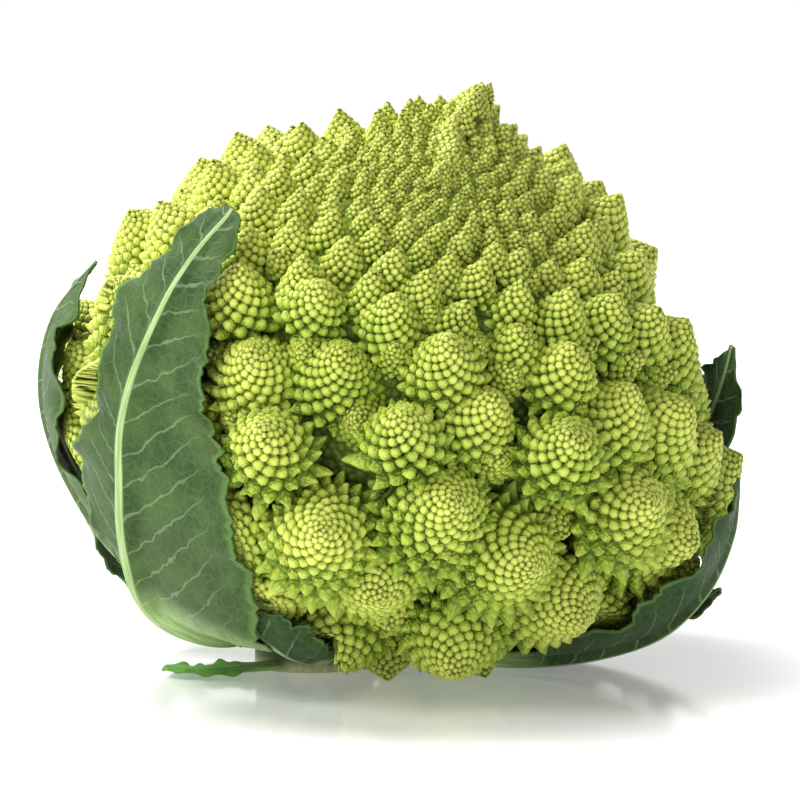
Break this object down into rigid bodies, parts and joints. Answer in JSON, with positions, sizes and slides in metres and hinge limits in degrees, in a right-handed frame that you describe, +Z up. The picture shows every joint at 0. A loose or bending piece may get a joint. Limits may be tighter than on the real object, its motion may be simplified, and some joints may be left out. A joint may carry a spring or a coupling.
{
  "type": "romanesco head",
  "caption": "Romanesco head as picked: a dome of spiral, pointed green florets on a short cut stalk, wrapped from below by ribbed blue-green leaves.",
  "frame": {"origin": "on the surface the head lies on, under the middle of its whole box", "axes": "+Z up, from the cut stalk towards the head's point; -Y towards the viewer of the picture; +X to that viewer's right"},
  "size_m": [0.1898, 0.1874, 0.1562],
  "materials": {
    "curd_green": "matt, waxy, yellow-green",
    "stalk_green": "smooth, waxy, olive-green",
    "leaf_green": "matt, with a pale waxy bloom and pale veins"
  },
  "bodies": {
    "root": {"curd": "curd_green", "stalk": "stalk_green", "leaf_front_left": "leaf_green", "leaf_left": "leaf_green", "leaf_left_low": "leaf_green", "leaf_small_curled": "leaf_green", "leaf_stub": "leaf_green", "leaf_right": "leaf_green", "leaf_right_low": "leaf_green", "leaf_back_right": "leaf_green"}
  },
  "joints": []
}
